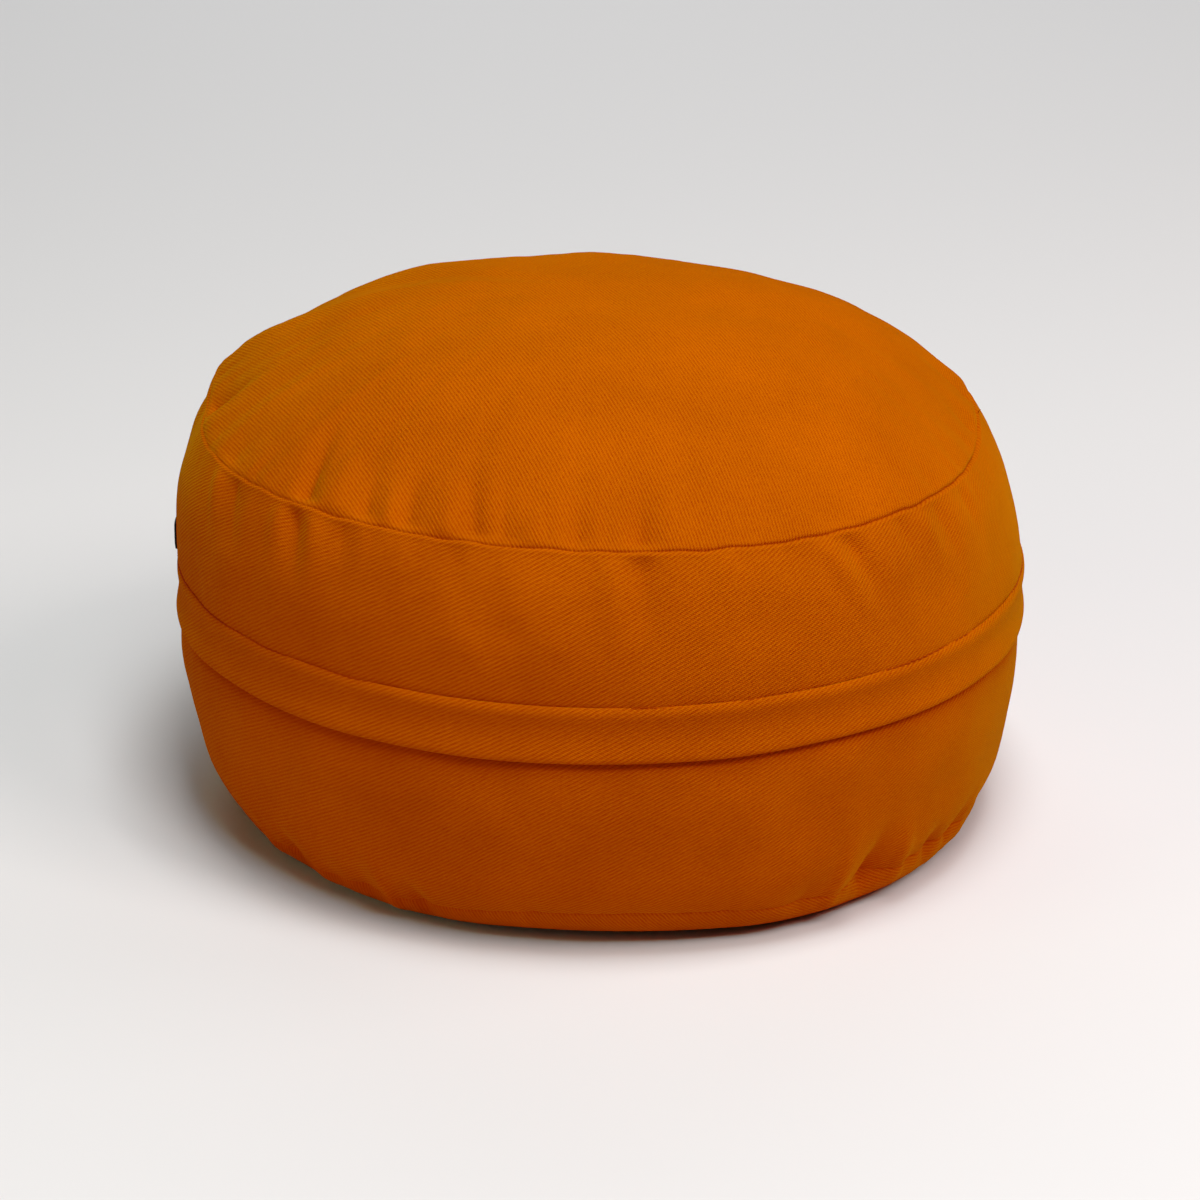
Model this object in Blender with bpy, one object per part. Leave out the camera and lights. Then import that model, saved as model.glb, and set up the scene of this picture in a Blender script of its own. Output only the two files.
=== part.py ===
"""A round meditation cushion of heavy cotton twill, standing on its base, in metres with +Z up.

The origin is on the floor, under the middle of the cushion, and the front is at -Y.
Three pieces: the filled cushion, the folded flap that runs round its side, and a flat side label.
"""

import functools
import math
from collections import namedtuple

import bmesh
import bpy

MM = 0.001

# Driving sizes, in metres
SIDE_RADIUS = 165.5 * MM
BASE_FLAT_RADIUS = 129.0 * MM
BASE_SEAM_RADIUS = 152.0 * MM
BASE_SEAM_HEIGHT = 14.5 * MM
FLAP_FOLD_HEIGHT = 82.2 * MM
FLAP_STITCH_HEIGHT = 103.0 * MM
TOP_SEAM_RADIUS = 151.5 * MM
TOP_SEAM_HEIGHT = 156.8 * MM
CROWN_HEIGHT = 205.5 * MM
TWILL_THICKNESS = 1.1 * MM
PIECE_GAP = 0.3 * MM

# The filling has settled unevenly: the base sits to the right of the side's middle and the top seam to the left
BASE_SHIFT = 5.0 * MM
TOP_SHIFT = -3.5 * MM

# A seam is drawn in over a narrow channel
SEAM_DEPTH = 1.2 * MM
SEAM_REACH = 4.0 * MM

# The flap is the twill folded double, and its fold stands a little off the side
FLAP_THICKNESS = 2 * TWILL_THICKNESS
FLAP_FOLD_LIFT = 0.8 * MM
FLAP_FOLD_ROUNDING = 0.4
FLAP_TOP = 0.97
FLAP_STEPS = 5

# The label is a ribbon sewn flat on the left of the upper band, just over the topstitching. Its bottom and
# top are shares of the band, and its ends are steps round the cushion.
LABEL_THICKNESS = 1.0 * MM
LABEL_BOTTOM = 0.04
LABEL_TOP = 0.23
LABEL_STEPS = 4
LABEL_BACK_STEP = 46
LABEL_FRONT_STEP = 49

# The round is cut into steps, counted anticlockwise from +X
ROUND_STEPS = 96

# Drifts say how far a ring strays outwards and upwards from its round, by direction, in millimetres
Drift = namedtuple("Drift", "angle out up")
BASE_SEAM_DRIFT = (
    Drift(-180, 2.0, 0.0),
    Drift(-150, 1.0, -0.5),
    Drift(-110, 0.0, 0.0),
    Drift(-90, -1.0, 2.0),
    Drift(-68, 0.0, 0.0),
    Drift(-45, -2.0, 1.0),
    Drift(-20, -2.5, 1.0),
    Drift(20, 0.0, 0.0),
    Drift(90, 0.0, 0.0),
)
FLAP_DRIFT = (
    Drift(-180, 0.0, -2.5),
    Drift(-135, 0.0, -1.0),
    Drift(-90, 0.0, 0.0),
    Drift(-45, 0.0, 1.0),
    Drift(0, 0.0, 2.0),
    Drift(90, 0.0, 0.0),
)
TOP_SEAM_DRIFT = (
    Drift(-180, -2.5, 0.0),
    Drift(-165, -0.5, -0.5),
    Drift(-130, 0.0, 0.5),
    Drift(-90, 0.0, 0.0),
    Drift(-60, 0.0, -1.5),
    Drift(-35, 0.0, -1.0),
    Drift(-10, -3.5, -1.5),
    Drift(12, -2.0, 2.0),
    Drift(60, -0.5, 0.5),
    Drift(110, 0.5, 0.5),
    Drift(135, 1.0, 2.0),
    Drift(160, 1.5, 5.0),
)

# How full the crown is just inside its seam, by direction: a higher power is a fuller shoulder
Fullness = namedtuple("Fullness", "angle power")
CROWN_FULLNESS = (
    Fullness(-180, 2.7),
    Fullness(-60, 2.9),
    Fullness(10, 3.2),
    Fullness(60, 2.6),
    Fullness(90, 2.7),
    Fullness(110, 2.6),
    Fullness(140, 2.9),
    Fullness(160, 2.6),
)

Row = namedtuple("Row", "radius height shift")
UNDER_FLAP_RADIUS = SIDE_RADIUS - FLAP_THICKNESS - PIECE_GAP - FLAP_FOLD_LIFT
FLAP_FOLD_SHARE = 0.8

# Where along its section each ring of the cushion lies, as a share
BASE_RINGS = (0.0, 0.33, 0.67)
LOWER_RINGS = (0.0, 0.10, 0.20, 0.32, 0.46, 0.60, 0.74, 0.87, 1.0)
UPPER_RINGS = (0.0, 0.14, 0.28, 0.45, 0.62, 0.78, 0.90)
CROWN_RINGS = (0.0, 0.04, 0.11, 0.19, 0.28, 0.39, 0.51, 0.63, 0.76)

# Folds run away from a seam. section is where the fold lies, angle its place at the seam, lean how far it
# turns over its reach and width half its width, in degrees. depth is how far it is drawn in, and reach how
# far it runs from the seam, in metres.
Fold = namedtuple("Fold", "section angle lean depth width reach")
FRONT_FOLDS = (
    Fold("crown", -177, 6, 2.6 * MM, 4.5, 30 * MM),
    Fold("crown", -131, -6, 3.0 * MM, 3.8, 30 * MM),
    Fold("crown", -118, -1, 1.3 * MM, 4.5, 22 * MM),
    Fold("crown", -105, -2, 2.2 * MM, 4.0, 28 * MM),
    Fold("crown", -84, 1, 1.6 * MM, 4.5, 28 * MM),
    Fold("crown", -56, 0, 0.8 * MM, 4.0, 14 * MM),
    Fold("crown", -14, -3, 1.2 * MM, 4.5, 24 * MM),
    Fold("upper", -147, 2, 1.6 * MM, 4.5, 26 * MM),
    Fold("upper", -132, 4, 2.6 * MM, 3.8, 24 * MM),
    Fold("upper", -84, 0, 2.0 * MM, 4.5, 40 * MM),
    Fold("upper", -56, -2, 2.4 * MM, 4.0, 20 * MM),
    Fold("upper", -36, 0, 1.0 * MM, 4.5, 20 * MM),
    Fold("lower", -140, 3, 3.0 * MM, 4.5, 22 * MM),
    Fold("lower", -121, 2, 2.6 * MM, 4.0, 24 * MM),
    Fold("lower", -47, 2, 4.6 * MM, 4.5, 30 * MM),
    Fold("lower", -36, -2, 2.4 * MM, 4.0, 20 * MM),
)
BASE_FOLD_REACH = 14 * MM

# The back, which the photo doesn't show, puckers as the front does, at uneven places
BACK_FOLDS = 7
BACK_FIRST_ANGLE = 12
BACK_SPACING = 25
BACK_WANDER = 5
BACK_DEPTH = 1.8 * MM
BACK_DEPTH_VARIES = 0.8 * MM

ORANGE_TWILL = (0.46, 0.085, 0.0)
TWILL_ROUGHNESS = 0.85
NAVY_RIBBON = (0.010, 0.012, 0.030)
RIBBON_ROUGHNESS = 0.7


def clear_scene():
    for old in list(bpy.data.objects):
        bpy.data.objects.remove(old, do_unlink=True)


def cloth(name, colour, roughness):
    material = bpy.data.materials.new(name)
    material.use_nodes = True
    shader = material.node_tree.nodes["Principled BSDF"]
    shader.inputs["Base Color"].default_value = (*colour, 1.0)
    shader.inputs["Roughness"].default_value = roughness
    shader.inputs["Metallic"].default_value = 0.0
    return material


def soft_bump(distance):
    """1 at no distance, falling smoothly to 0 at a distance of 1."""
    return math.cos(min(abs(distance), 1.0) * math.pi / 2) ** 2


def degrees_between(angle, other):
    return (angle - other + 180) % 360 - 180


def smooth_curve(before, first, second, after, t):
    """The value at t, 0 to 1, of the way from the first to the second of four values on a smooth curve."""
    bend = (2 * before - 5 * first + 4 * second - after) * t**2
    bend += (3 * first - before - 3 * second + after) * t**3
    return (2 * first + (second - before) * t + bend) / 2


@functools.lru_cache(maxsize=None)
def round_table(table, column, angle):
    """A column of a table that has an angle column, read smoothly right round the cushion."""
    count = len(table)
    for number in range(count):
        wide = (table[(number + 1) % count].angle - table[number].angle) % 360
        turn = (angle - table[number].angle) % 360
        if turn < wide:
            values = [getattr(table[(number + step) % count], column) for step in (-1, 0, 1, 2)]
            return smooth_curve(*values, turn / wide)
    raise ValueError(angle)


def drifted(row, angle, *drifts):
    """A row with parts of some drifts added: each drift comes with its share."""
    radius, height = row.radius, row.height
    for drift, share in drifts:
        radius += share * MM * round_table(drift, "out", angle)
        height += share * MM * round_table(drift, "up", angle)
    return Row(radius, height, row.shift)


@functools.lru_cache(maxsize=None)
def base_rows(angle):
    return (
        Row(BASE_FLAT_RADIUS, 0.0, BASE_SHIFT),
        drifted(Row(0.1405, 0.0022, BASE_SHIFT), angle, (BASE_SEAM_DRIFT, 0.3)),
        drifted(Row(0.1480, 0.0075, BASE_SHIFT), angle, (BASE_SEAM_DRIFT, 0.7)),
        drifted(Row(BASE_SEAM_RADIUS, BASE_SEAM_HEIGHT, 0.8 * BASE_SHIFT), angle, (BASE_SEAM_DRIFT, 1)),
    )


@functools.lru_cache(maxsize=None)
def lower_rows(angle):
    return (
        base_rows(angle)[-1],
        drifted(Row(0.1580, 0.0270, 0.6 * BASE_SHIFT), angle, (BASE_SEAM_DRIFT, 0.5)),
        drifted(Row(0.1612, 0.0450, 0.3 * BASE_SHIFT), angle, (BASE_SEAM_DRIFT, 0.15)),
        Row(UNDER_FLAP_RADIUS + 0.6 * MM, 0.0640, 0.0),
        drifted(Row(UNDER_FLAP_RADIUS, FLAP_FOLD_HEIGHT, 0.0), angle, (FLAP_DRIFT, 1)),
        drifted(Row(UNDER_FLAP_RADIUS - 1.0 * MM, FLAP_STITCH_HEIGHT, 0.0), angle, (FLAP_DRIFT, 1)),
    )


@functools.lru_cache(maxsize=None)
def upper_rows(angle):
    return (
        drifted(Row(SIDE_RADIUS - 1.8 * MM, FLAP_STITCH_HEIGHT + PIECE_GAP, 0.0), angle, (FLAP_DRIFT, 1)),
        drifted(Row(SIDE_RADIUS - 2.2 * MM, 0.1150, 0.3 * TOP_SHIFT), angle, (FLAP_DRIFT, 0.6)),
        Row(SIDE_RADIUS - 4.0 * MM, 0.1290, 0.6 * TOP_SHIFT),
        drifted(Row(0.1575, 0.1440, 0.8 * TOP_SHIFT), angle, (TOP_SEAM_DRIFT, 0.5)),
        drifted(Row(TOP_SEAM_RADIUS, TOP_SEAM_HEIGHT, TOP_SHIFT), angle, (TOP_SEAM_DRIFT, 1)),
    )


def through_rows(rows, share):
    """The row at a share, 0 to 1, of the way along a section, on a smooth curve through its rows."""
    place = share * (len(rows) - 1)
    step = min(int(place), len(rows) - 2)
    before = rows[max(step - 1, 0)]
    after = rows[min(step + 2, len(rows) - 1)]
    columns = zip(before, rows[step], rows[step + 1], after)
    return Row(*(smooth_curve(*values, place - step) for values in columns))


def crown_row(share, angle):
    """The top panel, from its seam at a share of 0 to its middle at 1."""
    seam = upper_rows(angle)[-1]
    power = round_table(CROWN_FULLNESS, "power", angle)
    height = CROWN_HEIGHT - (CROWN_HEIGHT - seam.height) * (1 - share) ** power
    return Row(seam.radius * (1 - share), height, TOP_SHIFT)


def back_folds():
    found = []
    for number in range(BACK_FOLDS):
        angle = BACK_FIRST_ANGLE + BACK_SPACING * number + BACK_WANDER * math.sin(2.3 * number)
        depth = BACK_DEPTH + BACK_DEPTH_VARIES * math.sin(1.7 * number)
        found.append(Fold("crown", angle, 2 * math.sin(number), depth, 4.5, 26 * MM))
        found.append(Fold("upper", angle + 3, -2 * math.sin(number), depth, 4.5, 24 * MM))
        found.append(Fold("lower", angle - 9, math.sin(2 * number), 1.3 * depth, 4.5, 24 * MM))
    return found


def all_folds():
    """Every fold. Those of the lower band's seam run on a little way under the base."""
    found = list(FRONT_FOLDS) + back_folds()
    for fold in list(found):
        if fold.section == "lower":
            found.append(fold._replace(section="base", lean=0, reach=BASE_FOLD_REACH))
    return found


class Section:
    """One panel of the cushion. row_at gives its ring at a share and an angle, and seam is the share where its
    folds start."""

    def __init__(self, name, row_at, seam):
        self.name = name
        self.row_at = row_at
        self.seam = seam
        self.folds = [fold for fold in all_folds() if fold.section == name]

    def outward(self, share, angle):
        """The radial and upright parts of the direction straight out of the surface."""
        nudge = 0.01
        low = self.row_at(max(share - nudge, 0), angle)
        high = self.row_at(min(share + nudge, 1), angle)
        wide = high.radius - low.radius
        tall = high.height - low.height
        length = math.hypot(wide, tall)
        return tall / length, -wide / length

    def drawn_in(self, angle, away):
        """How far the cloth is drawn in at an angle, at a distance away from the seam."""
        depth = SEAM_DEPTH * soft_bump(away / SEAM_REACH)
        for fold in self.folds:
            middle = fold.angle + fold.lean * min(away / fold.reach, 1)
            turn = degrees_between(angle, middle)
            depth += fold.depth * soft_bump(turn / fold.width) * soft_bump(away / fold.reach)
        return depth

    def point(self, step, share, stand_off=0.0):
        """The surface at a step round the cushion and a share along the section, or that far off it."""
        angle = 360 * step / ROUND_STEPS
        row = self.row_at(share, angle)
        seam = self.row_at(self.seam, angle)
        out, up = self.outward(share, angle)
        away = math.hypot(row.radius - seam.radius, row.height - seam.height)
        move = stand_off - self.drawn_in(angle, away)
        radius = row.radius + out * move
        turn = math.radians(angle)
        return radius * math.cos(turn) + row.shift, radius * math.sin(turn), row.height + up * move

    def ring(self, share, stand_off=0.0):
        return [self.point(step, share, stand_off) for step in range(ROUND_STEPS)]


BASE = Section("base", lambda share, angle: through_rows(base_rows(angle), share), 1)
LOWER = Section("lower", lambda share, angle: through_rows(lower_rows(angle), share), 0)
UPPER = Section("upper", lambda share, angle: through_rows(upper_rows(angle), share), 1)
CROWN = Section("crown", crown_row, 0)


def finish_object(name, mesh, material):
    bmesh.ops.recalc_face_normals(mesh, faces=mesh.faces)
    data = bpy.data.meshes.new(name)
    mesh.to_mesh(data)
    mesh.free()
    data.materials.append(material)
    data.shade_smooth()
    data.set_sharp_from_angle(angle=math.radians(50))
    made = bpy.data.objects.new(name, data)
    bpy.context.scene.collection.objects.link(made)
    return made


def skin_rings(mesh, rings, closed_round=True):
    """Joins rings of points, each with the same number of points, with faces, and returns the points."""
    made = []
    for ring in rings:
        made.append([mesh.verts.new(point) for point in ring])
    count = len(made[0])
    last = count if closed_round else count - 1
    for low, high in zip(made, made[1:]):
        for step in range(last):
            after = (step + 1) % count
            mesh.faces.new((low[step], low[after], high[after], high[step]))
    return made


def cap(mesh, ring, centre):
    middle = mesh.verts.new(centre)
    for step, point in enumerate(ring):
        mesh.faces.new((point, ring[(step + 1) % len(ring)], middle))


def build_cushion(material):
    """The filled cushion, one solid: base, lower band, the ledge over the flap, upper band and crown."""
    rings = []
    for section, shares in ((BASE, BASE_RINGS), (LOWER, LOWER_RINGS), (UPPER, UPPER_RINGS), (CROWN, CROWN_RINGS)):
        rings += [section.ring(share) for share in shares]
    mesh = bmesh.new()
    made = skin_rings(mesh, rings)
    cap(mesh, made[0], (BASE_SHIFT, 0, 0))
    cap(mesh, made[-1], (TOP_SHIFT, 0, CROWN_HEIGHT))
    return finish_object("cushion", mesh, material)


def build_flap(material):
    """The doubled lower end of the upper band: a ring over the side, its fold at the bottom a little off it."""
    inner = []
    outer = []
    for number in range(FLAP_STEPS + 1):
        up = number / FLAP_STEPS
        share = FLAP_FOLD_SHARE + (FLAP_TOP - FLAP_FOLD_SHARE) * up
        rounding = FLAP_FOLD_ROUNDING if number == 0 else 1.0
        middle = PIECE_GAP + FLAP_FOLD_LIFT * (1 - up) ** 2 + FLAP_THICKNESS / 2
        half = rounding * FLAP_THICKNESS / 2
        inner.append(LOWER.ring(share, middle - half))
        outer.append(LOWER.ring(share, middle + half))
    mesh = bmesh.new()
    inside = skin_rings(mesh, inner)
    outside = skin_rings(mesh, outer)
    for low, high in ((inside[0], outside[0]), (outside[-1], inside[-1])):
        for step in range(ROUND_STEPS):
            after = (step + 1) % ROUND_STEPS
            mesh.faces.new((low[step], high[step], high[after], low[after]))
    return finish_object("flap", mesh, material)


def build_label(material):
    """The ribbon, a thin curved plate on the upper band."""
    steps = range(LABEL_BACK_STEP, LABEL_FRONT_STEP + 1)
    mesh = bmesh.new()
    skins = []
    for stand_off in (PIECE_GAP, PIECE_GAP + LABEL_THICKNESS):
        rings = []
        for number in range(LABEL_STEPS + 1):
            share = LABEL_BOTTOM + (LABEL_TOP - LABEL_BOTTOM) * number / LABEL_STEPS
            rings.append([UPPER.point(step, share, stand_off) for step in steps])
        skins.append(skin_rings(mesh, rings, closed_round=False))
    columns = len(steps) - 1
    edge = [(row, 0) for row in range(LABEL_STEPS)]
    edge += [(LABEL_STEPS, column) for column in range(columns)]
    edge += [(row, columns) for row in range(LABEL_STEPS, 0, -1)]
    edge += [(0, column) for column in range(columns, 0, -1)]
    inner, outer = skins
    for (row, column), (next_row, next_column) in zip(edge, edge[1:] + edge[:1]):
        near = (inner[row][column], inner[next_row][next_column])
        far = (outer[next_row][next_column], outer[row][column])
        mesh.faces.new(near + far)
    return finish_object("side_label", mesh, material)


def main():
    clear_scene()
    twill = cloth("orange_cotton_twill", ORANGE_TWILL, TWILL_ROUGHNESS)
    ribbon = cloth("navy_label_ribbon", NAVY_RIBBON, RIBBON_ROUGHNESS)
    build_cushion(twill)
    build_flap(twill)
    build_label(ribbon)


main()
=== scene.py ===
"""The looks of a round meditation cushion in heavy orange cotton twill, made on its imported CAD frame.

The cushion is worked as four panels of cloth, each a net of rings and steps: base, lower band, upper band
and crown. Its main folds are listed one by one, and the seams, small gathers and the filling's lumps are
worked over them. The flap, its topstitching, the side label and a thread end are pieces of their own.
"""

import math
from collections import namedtuple

import bpy
import numpy as np
from mathutils import Matrix, Vector

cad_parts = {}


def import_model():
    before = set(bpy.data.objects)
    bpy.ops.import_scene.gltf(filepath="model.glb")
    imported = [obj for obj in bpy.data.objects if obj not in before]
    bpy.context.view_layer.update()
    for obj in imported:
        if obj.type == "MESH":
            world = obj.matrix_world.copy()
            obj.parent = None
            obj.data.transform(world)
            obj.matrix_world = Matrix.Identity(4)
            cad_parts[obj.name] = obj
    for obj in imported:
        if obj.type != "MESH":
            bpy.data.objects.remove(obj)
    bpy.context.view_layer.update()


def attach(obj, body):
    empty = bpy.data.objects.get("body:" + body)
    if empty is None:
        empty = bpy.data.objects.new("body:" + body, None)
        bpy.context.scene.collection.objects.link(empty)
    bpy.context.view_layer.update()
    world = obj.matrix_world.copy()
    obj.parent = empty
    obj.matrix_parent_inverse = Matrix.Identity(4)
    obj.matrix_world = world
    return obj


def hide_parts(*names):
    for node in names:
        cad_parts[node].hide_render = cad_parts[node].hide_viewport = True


MM = 0.001

# The cushion's sizes, in metres
SIDE_RADIUS = 165.5 * MM
FLAP_FOLD_HEIGHT = 82.2 * MM
FLAP_STITCH_HEIGHT = 103.2 * MM
CROWN_HEIGHT = 205.5 * MM
TWILL_THICKNESS = 1.1 * MM
FLAP_THICKNESS = 2 * TWILL_THICKNESS
UNDER_FLAP_RADIUS = SIDE_RADIUS - FLAP_THICKNESS - 1.1 * MM
BASE_SHIFT = 5.0 * MM
TOP_SHIFT = -3.5 * MM

# Two steps of the round to each topstitch, counted anticlockwise from +X, so the photographed front is at -90
STITCHES = 322
ROUND_STEPS = 2 * STITCHES
ANGLES = np.arange(ROUND_STEPS) * 360.0 / ROUND_STEPS
TURNS = np.radians(ANGLES)

# Drifts say how far a ring strays outwards and upwards from its round, by direction, in millimetres
Drift = namedtuple("Drift", "angle out up")
BASE_EDGE_DRIFT = (
    Drift(-180, 0, 0),
    Drift(-130, -1.0, 0),
    Drift(-90, -5.0, 0),
    Drift(-65, -2.0, 0),
    Drift(-40, 2.0, 0),
    Drift(0, 0, 0),
    Drift(90, 0, 0),
)
BASE_SEAM_DRIFT = (
    Drift(-180, 1.0, -2.0),
    Drift(-150, 0, -2.0),
    Drift(-136, -2.2, -3.5),
    Drift(-124, -2.6, -4.0),
    Drift(-112, -2.2, -2.5),
    Drift(-101, -1.0, 1.0),
    Drift(-93, -1.0, 2.0),
    Drift(-77, -1.0, 1.5),
    Drift(-68, 0, 0),
    Drift(-45, -2.0, 1.0),
    Drift(-20, -2.4, 1.0),
    Drift(20, 0, 0),
    Drift(90, 0, 0),
)
LOW_SIDE_DRIFT = (
    Drift(-180, 0.6, 0),
    Drift(-140, 0, 0),
    Drift(-90, 0, 0),
    Drift(-40, -0.6, 0),
    Drift(-10, -0.8, 0),
    Drift(40, 0, 0),
    Drift(120, 0, 0),
)
FLAP_DRIFT = (
    Drift(-180, 0, -2.4),
    Drift(-135, 0, -1.1),
    Drift(-90, 0, -0.2),
    Drift(-45, 0, 0.9),
    Drift(0, 0, 1.8),
    Drift(90, 0, 0),
)
HIGH_SIDE_DRIFT = (
    Drift(-180, 0, 0),
    Drift(-90, 0, 0),
    Drift(0, -1.6, 0),
    Drift(90, 0, 0),
)
TOP_SEAM_DRIFT = (
    Drift(-180, -2.5, 0),
    Drift(-170, -1.0, -0.5),
    Drift(-160, -0.5, -0.5),
    Drift(-130, 0, 0.5),
    Drift(-90, 0, 0),
    Drift(-60, 0, -1.5),
    Drift(-35, 0, -1.0),
    Drift(-15, -3.0, -2.0),
    Drift(-5, -3.5, -1.0),
    Drift(12, -2.0, 2.0),
    Drift(30, -1.0, 1.5),
    Drift(60, -0.5, 0.5),
    Drift(110, 0.5, 0.5),
    Drift(130, 1.0, 1.5),
    Drift(150, 2.0, 4.0),
    Drift(165, 1.0, 5.0),
    Drift(173, -1.0, 3.0),
)

# How full the crown is just inside its seam, by direction: a higher power is a fuller shoulder
Fullness = namedtuple("Fullness", "angle power")
CROWN_FULLNESS = (
    Fullness(-180, 2.7),
    Fullness(-120, 2.8),
    Fullness(-60, 2.9),
    Fullness(-10, 2.95),
    Fullness(10, 3.2),
    Fullness(30, 2.95),
    Fullness(50, 2.65),
    Fullness(70, 2.55),
    Fullness(90, 2.7),
    Fullness(110, 2.55),
    Fullness(125, 2.7),
    Fullness(140, 3.0),
    Fullness(155, 2.45),
    Fullness(168, 2.75),
)

# Folds and ridges run away from a seam. depth is in millimetres, and negative for a ridge. angle is the place
# at the seam, lean how far it turns over its reach and width half its width, in degrees. reach is in
# millimetres of cloth.
Fold = namedtuple("Fold", "panel angle lean depth width reach")
FRONT_FOLDS = (
    Fold("crown", -177, 5, 3.4, 4.2, 36),
    Fold("crown", -169, 3, -1.0, 5.0, 30),
    Fold("crown", -153, 0, 1.4, 5.0, 28),
    Fold("crown", -133.0, -6, 4.0, 3.2, 42),
    Fold("crown", -127.5, -3, -1.4, 3.2, 36),
    Fold("crown", -122, -4, 2.6, 3.4, 34),
    Fold("crown", -118.6, -2, -0.8, 2.4, 30),
    Fold("crown", -115.2, -3, 2.4, 3.2, 34),
    Fold("crown", -109.8, -2, -1.4, 3.0, 36),
    Fold("crown", -105.6, -3.5, 3.4, 3.2, 36),
    Fold("crown", -101.4, -2, 1.8, 2.6, 28),
    Fold("crown", -97.4, -1, -0.8, 2.4, 26),
    Fold("crown", -91.5, -1, 2.0, 2.8, 26),
    Fold("crown", -88.0, 0, 1.2, 2.2, 20),
    Fold("crown", -85.1, 0, -0.6, 2.2, 24),
    Fold("crown", -83.4, 1, 3.6, 3.6, 38),
    Fold("crown", -69.0, 1, 0.7, 4.0, 26),
    Fold("crown", -54.5, 0, 1.3, 4.0, 24),
    Fold("crown", -34.0, 1, 0.8, 4.0, 28),
    Fold("crown", -13.0, -3, 1.4, 4.4, 28),
    Fold("upper", -153.7, 4, -1.6, 2.8, 32),
    Fold("upper", -148.8, 5, 2.2, 3.2, 34),
    Fold("upper", -136.8, 1, -1.3, 2.6, 34),
    Fold("upper", -134.0, 3.5, 3.2, 2.5, 36),
    Fold("upper", -130.0, 3, -1.4, 2.6, 36),
    Fold("upper", -125.0, 2, 1.6, 3.0, 34),
    Fold("upper", -116.0, 2, -0.6, 3.6, 26),
    Fold("upper", -108.0, 1, 0.9, 3.5, 28),
    Fold("upper", -100.0, 0, -0.5, 3.2, 26),
    Fold("upper", -87.2, 0, -1.2, 3.2, 44),
    Fold("upper", -83.4, -0.5, 3.0, 3.8, 48),
    Fold("upper", -76.0, 0, 0.8, 2.8, 28),
    Fold("upper", -72.5, 0, -0.8, 2.8, 30),
    Fold("upper", -62.5, 1, 1.1, 2.8, 26),
    Fold("upper", -58.3, 8, -1.5, 2.7, 48),
    Fold("upper", -54.2, 5, 3.0, 3.2, 36),
    Fold("upper", -44.8, 3, 1.6, 2.8, 28),
    Fold("upper", -40.5, 3, -0.9, 2.4, 30),
    Fold("upper", -36.4, 3, 1.8, 2.8, 34),
    Fold("upper", -28.7, 3, 1.4, 2.8, 28),
    Fold("lower", -147.0, 0, -1.2, 3.0, 16),
    Fold("lower", -141.0, 1, 2.2, 3.4, 22),
    Fold("lower", -135.3, 0, -1.3, 3.0, 16),
    Fold("lower", -126.5, 2, 1.7, 3.4, 28),
    Fold("lower", -122.0, -1, -1.5, 2.2, 30),
    Fold("lower", -116.8, -1, 1.9, 2.6, 18),
    Fold("lower", -100.0, 0, 0.5, 3.0, 14),
    Fold("lower", -86.0, 0, 0.4, 3.0, 14),
    Fold("lower", -73.0, 1, 0.6, 3.0, 18),
    Fold("lower", -62.0, 1, 1.4, 3.2, 18),
    Fold("lower", -57.0, 3, -1.8, 2.3, 38),
    Fold("lower", -50.2, 1, 6.0, 4.4, 32),
    Fold("lower", -44.0, -1, -1.8, 2.2, 30),
    Fold("lower", -36.0, -2, 2.4, 2.6, 20),
    Fold("lower", -29.4, 2, 2.4, 2.6, 20),
    Fold("lower", -24.5, 1, -0.9, 3.0, 24),
)
BASE_FOLD_REACH = 14.0
CREASE_ROUNDING = 0.1

# The back, which the photo doesn't show, puckers as the front does: one fold in each panel about every 13
# degrees, each with a ridge beside it. What is uneven is drawn between two ends, in degrees, or as a share of
# the deepest fold or the farthest.
BackFold = namedtuple("BackFold", "panel deepest farthest")
BACK_FOLDS = (BackFold("crown", 3.0, 30), BackFold("upper", 2.8, 32), BackFold("lower", 3.0, 24))
BACK_PLACES = 15
BACK_FIRST_ANGLE = -8.0
BACK_SPACING = 13.0
BACK_STRAY = (-5, 5)
BACK_DEPTH_SHARE = (0.2, 1)
BACK_WIDTH = (2.4, 3.8)
BACK_LEAN = (-3, 3)
BACK_REACH_SHARE = (0.7, 1.2)
RIDGE_WIDTHS_AWAY = 1.6
RIDGE_SHARE = -0.35

# Swells and dents lie away from a seam: out is in millimetres, away and reach in millimetres of cloth
Swell = namedtuple("Swell", "panel angle away width reach out")
SWELLS = (
    Swell("crown", -103, 128, 24, 22, 0.5),
    Swell("crown", -14, 74, 13, 18, 0.7),
    Swell("crown", -176, 30, 14, 24, 1.2),
    Swell("upper", -107, 36, 5, 10, 0.5),
    Swell("upper", -100, 30, 4, 9, -0.5),
    Swell("upper", -95, 34, 4, 10, 0.45),
    Swell("upper", -68, 30, 5, 16, -0.5),
    Swell("upper", -145, 34, 7, 14, 0.5),
    Swell("lower", -73, 62, 5, 12, -0.6),
    Swell("lower", -63, 42, 6, 16, -0.9),
    Swell("lower", -57, 60, 7, 16, 0.6),
    Swell("lower", -128, 60, 12, 20, 0.5),
)

# The filling's lumps are waves through space: their length in metres, their size in millimetres and how many
# there are. They fade out towards a seam.
Lumps = namedtuple("Lumps", "length size waves")
FILLING_LUMPS = (
    Lumps(75 * MM, 0.35, 9),
    Lumps(34 * MM, 0.20, 12),
    Lumps(16 * MM, 0.075, 14),
    Lumps(9 * MM, 0.03, 16),
)
LUMPS_FADE = 25 * MM

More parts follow.
